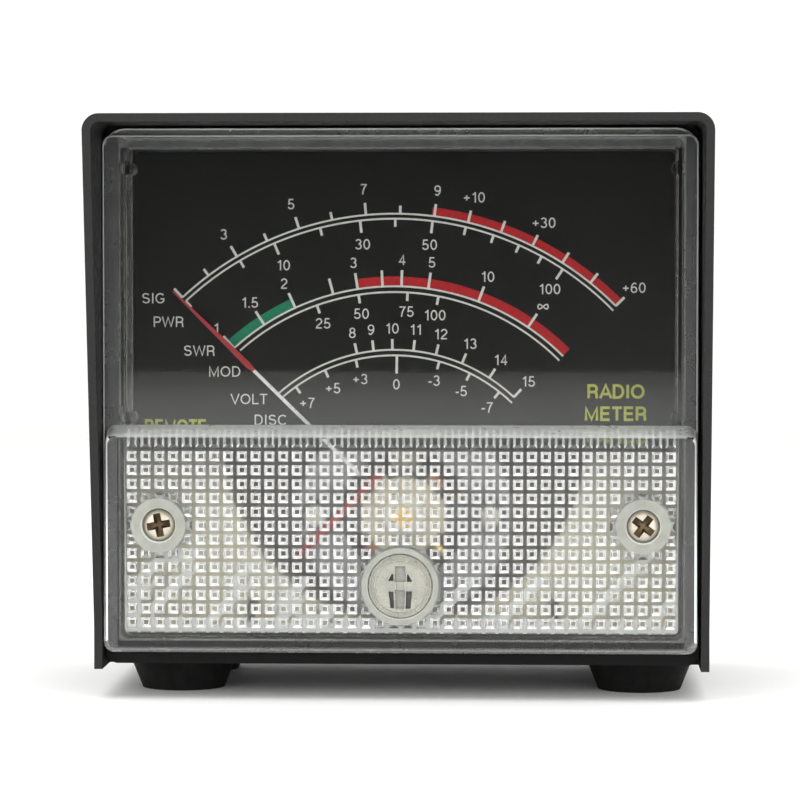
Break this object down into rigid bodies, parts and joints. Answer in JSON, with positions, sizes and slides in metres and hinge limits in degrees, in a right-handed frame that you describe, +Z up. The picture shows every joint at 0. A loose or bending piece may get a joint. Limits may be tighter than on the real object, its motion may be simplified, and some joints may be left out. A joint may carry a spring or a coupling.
{
  "type": "external analog meter",
  "caption": "Small visored steel case on rubber feet holding a clear-fronted moving-coil meter with stacked SWR, power and signal scales, zero adjuster and rear jacks.",
  "frame": {"origin": "under the middle of the case, on the surface that the rubber feet stand on", "axes": "+X to the right seen from the dial side, +Y from the clear front to the rear panel, +Z up"},
  "size_m": [0.09, 0.064, 0.0852],
  "materials": {
    "case_paint": "matte",
    "chassis_paint": "satin",
    "foot_rubber": "matte",
    "black_screw_steel": "satin",
    "zinc_steel": "satin",
    "nickel_steel": "satin",
    "clear_plastic": "gloss",
    "cream_plastic": "satin",
    "dial_aluminium": "matte",
    "soft_iron": "satin",
    "magnet": "satin",
    "brass": "satin",
    "spring_bronze": "satin",
    "copper": "satin",
    "jewel": "polished",
    "pointer_aluminium": "satin",
    "pointer_red": "satin",
    "red_insulation": "satin",
    "black_insulation": "satin",
    "board": "satin",
    "lamp": "satin",
    "white_board": "satin",
    "black_plastic": "satin",
    "trimmer_blue": "satin",
    "rotor_white": "satin",
    "resistor_body": "satin",
    "capacitor_can": "satin"
  },
  "bodies": {
    "case": {"case_cover": "case_paint", "chassis": "chassis_paint", "cover_screws": "black_screw_steel", "rubber_feet": "foot_rubber", "foot_screws": "zinc_steel", "foot_nuts": "zinc_steel", "lens": "clear_plastic", "lens_screws": "nickel_steel", "meter_base": "cream_plastic", "clamp_bars": "zinc_steel", "clamp_studs": "zinc_steel", "clamp_washers": "zinc_steel", "clamp_nuts": "zinc_steel", "dial_plate": "dial_aluminium", "dial_screws": "black_screw_steel", "stop_pins": "black_plastic", "yoke_ring": "soft_iron", "core_magnet": "magnet", "core_holders": "cream_plastic", "yoke_screws": "zinc_steel", "front_bridge": "cream_plastic", "rear_bridge": "brass", "bridge_pillars": "brass", "bridge_screws": "zinc_steel", "jewel_screws": "brass", "jewel_locknuts": "brass", "jewels": "jewel", "rear_hairspring": "spring_bronze", "terminal_studs": "brass", "terminal_washers": "zinc_steel", "terminal_nuts": "zinc_steel", "solder_lugs": "zinc_steel", "coil_lead": "red_insulation", "terminal_lead_plus": "red_insulation", "terminal_lead_minus": "black_insulation", "lamp_leads": "black_insulation", "circuit_board": "board", "led_board": "white_board", "leds": "lamp", "resistors": "resistor_body", "capacitor": "capacitor_can", "meter_jack": "black_plastic", "jack_nut": "nickel_steel", "dc_jack": "black_plastic", "dc_jack_pin": "nickel_steel", "dc_jack_nut": "nickel_steel", "trimmer_body": "trimmer_blue"},
    "zero_screw": {"zero_screw": "clear_plastic", "zero_retainer": "zinc_steel"},
    "zero_lever": {"zero_lever": "zinc_steel", "front_hairspring": "spring_bronze"},
    "pointer": {"coil_frame": "pointer_aluminium", "coil_winding": "copper", "coil_hubs": "brass", "pivots": "soft_iron", "pointer_arm": "pointer_aluminium", "pointer_lance": "pointer_red", "counterweights": "brass"},
    "trimmer": {"trimmer_rotor": "rotor_white"}
  },
  "joints": [
    {"name": "zero_screw_turn", "type": "hinge", "parent": "case", "child": "zero_screw", "pos_m": [0, -0.02, 0.0169], "axis": [0, 1, 0], "range_deg": [-30, 30]},
    {"name": "zero_lever_swing", "type": "hinge", "parent": "case", "child": "zero_lever", "pos_m": [0, -0.0104, 0.0263], "axis": [0, 1, 0], "range_deg": [-4.5, 4.5]},
    {"name": "pointer_swing", "type": "hinge", "parent": "zero_lever", "child": "pointer", "pos_m": [0, -0.006, 0.0263], "axis": [0, 1, 0], "range_deg": [-2, 91], "stiffness_Nm_per_rad": 0.00002, "deforming": ["front_hairspring", "rear_hairspring"]},
    {"name": "trimmer_turn", "type": "hinge", "parent": "case", "child": "trimmer", "pos_m": [0, 0.0264, 0.0718], "axis": [0, 1, 0], "range_deg": [-135, 135]}
  ],
  "couplings": [
    {"joint": "zero_lever_swing", "follows": "zero_screw_turn", "ratio": -0.14}
  ]
}
